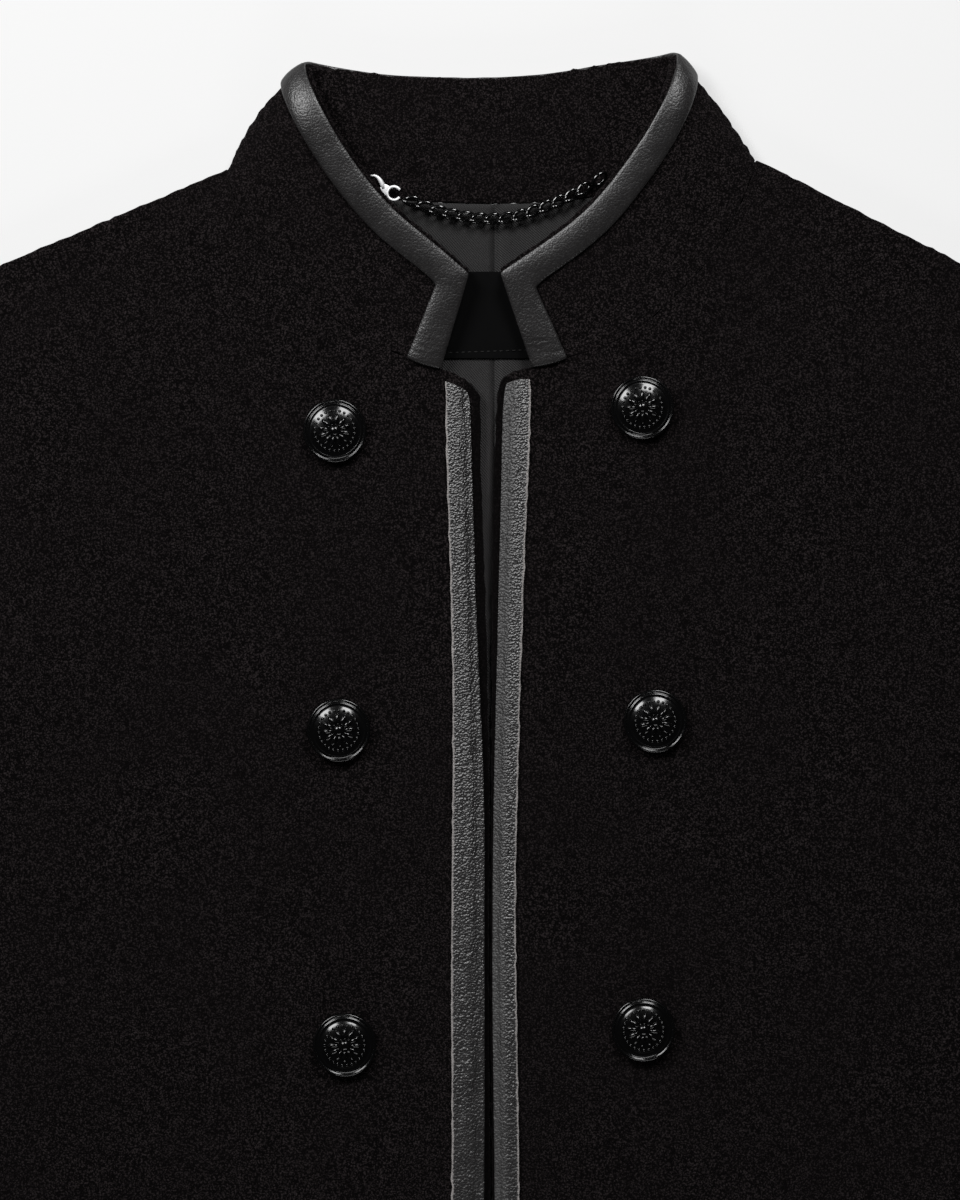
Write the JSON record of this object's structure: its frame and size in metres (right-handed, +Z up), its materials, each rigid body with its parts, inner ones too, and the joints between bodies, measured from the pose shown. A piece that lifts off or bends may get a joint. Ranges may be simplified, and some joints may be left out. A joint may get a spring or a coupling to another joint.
{
  "type": "napoleon jacket",
  "caption": "Wool officer jacket laid flat, with a stand collar, leather-bound edges, two columns of domed buttons and a hanger chain.",
  "frame": {"origin": "under the middle of the jacket's outline, on the plane it lies on", "axes": "+X across the jacket to the viewer's right, +Y from hem to collar, +Z up off the surface it lies on"},
  "size_m": [1.016, 0.6359, 0.0176],
  "materials": {
    "wool": "black boiled wool, matt and fuzzy",
    "collar_wool": "black boiled wool, matt and fuzzy",
    "leather": "black grained leather, semi-gloss",
    "lining": "black twill lining, slight sheen",
    "label": "black woven satin, bare",
    "black_metal": "gloss black enamelled metal",
    "steel": "bright nickel plate"
  },
  "bodies": {
    "root": {"back": "wool", "front_left": "wool", "front_right": "wool", "sleeve_left": "wool", "sleeve_right": "wool", "collar": "collar_wool", "collar_facing": "collar_wool", "collar_trim": "leather", "strip_left": "leather", "strip_right": "leather", "lining_left": "lining", "lining_right": "lining", "label": "label", "button_left_1": "black_metal", "button_left_2": "black_metal", "button_left_3": "black_metal", "button_left_4": "black_metal", "button_right_1": "black_metal", "button_right_2": "black_metal", "button_right_3": "black_metal", "button_right_4": "black_metal", "chain": "black_metal", "chain_clasp": "steel", "chain_end": "black_metal"}
  },
  "joints": []
}
